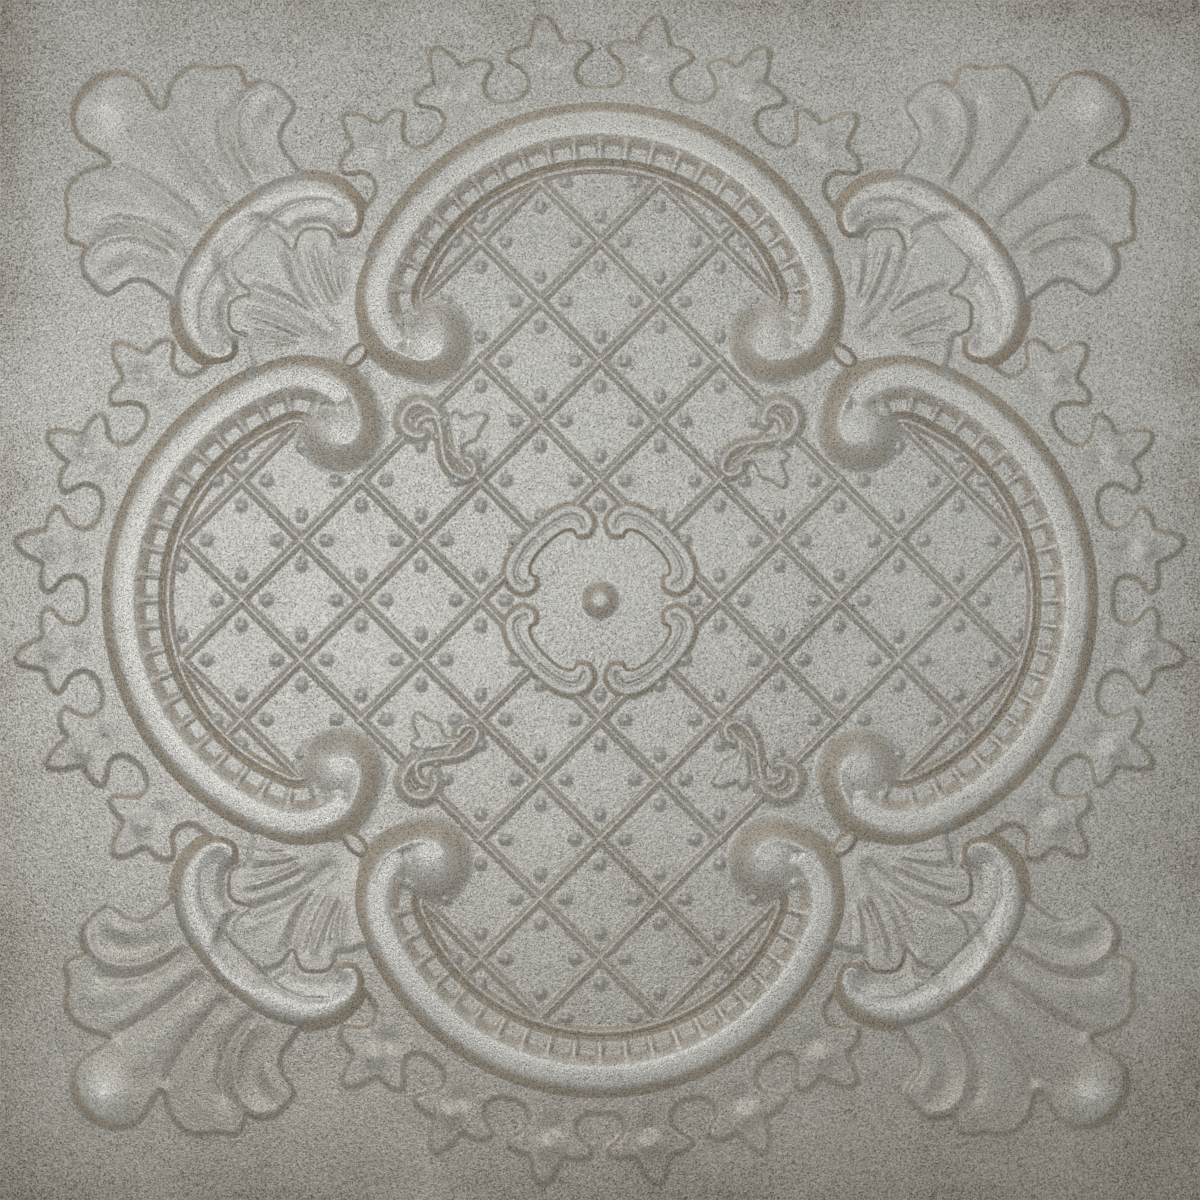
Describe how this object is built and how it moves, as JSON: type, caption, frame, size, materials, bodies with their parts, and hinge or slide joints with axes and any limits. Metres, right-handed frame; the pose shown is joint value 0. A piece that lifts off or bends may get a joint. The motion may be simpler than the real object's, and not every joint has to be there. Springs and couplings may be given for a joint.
{
  "type": "pressed tin ceiling tile",
  "caption": "Two-foot pressed tin ceiling tile: four scrolled lobes round a studded trellis, a centre rosette and shell corners, in worn silver paint.",
  "frame": {"origin": "centre of the tile, on the level of the flat sheet's underside", "axes": "+Z out of the raised face, X and Y along the tile's two pairs of edges"},
  "size_m": [0.6096, 0.6096, 0.0093],
  "materials": {
    "aged_silver": "satin silver paint, worn, brown in the flanks, fine dark specks"
  },
  "bodies": {
    "root": {"pressed_sheet": "aged_silver"}
  },
  "joints": []
}
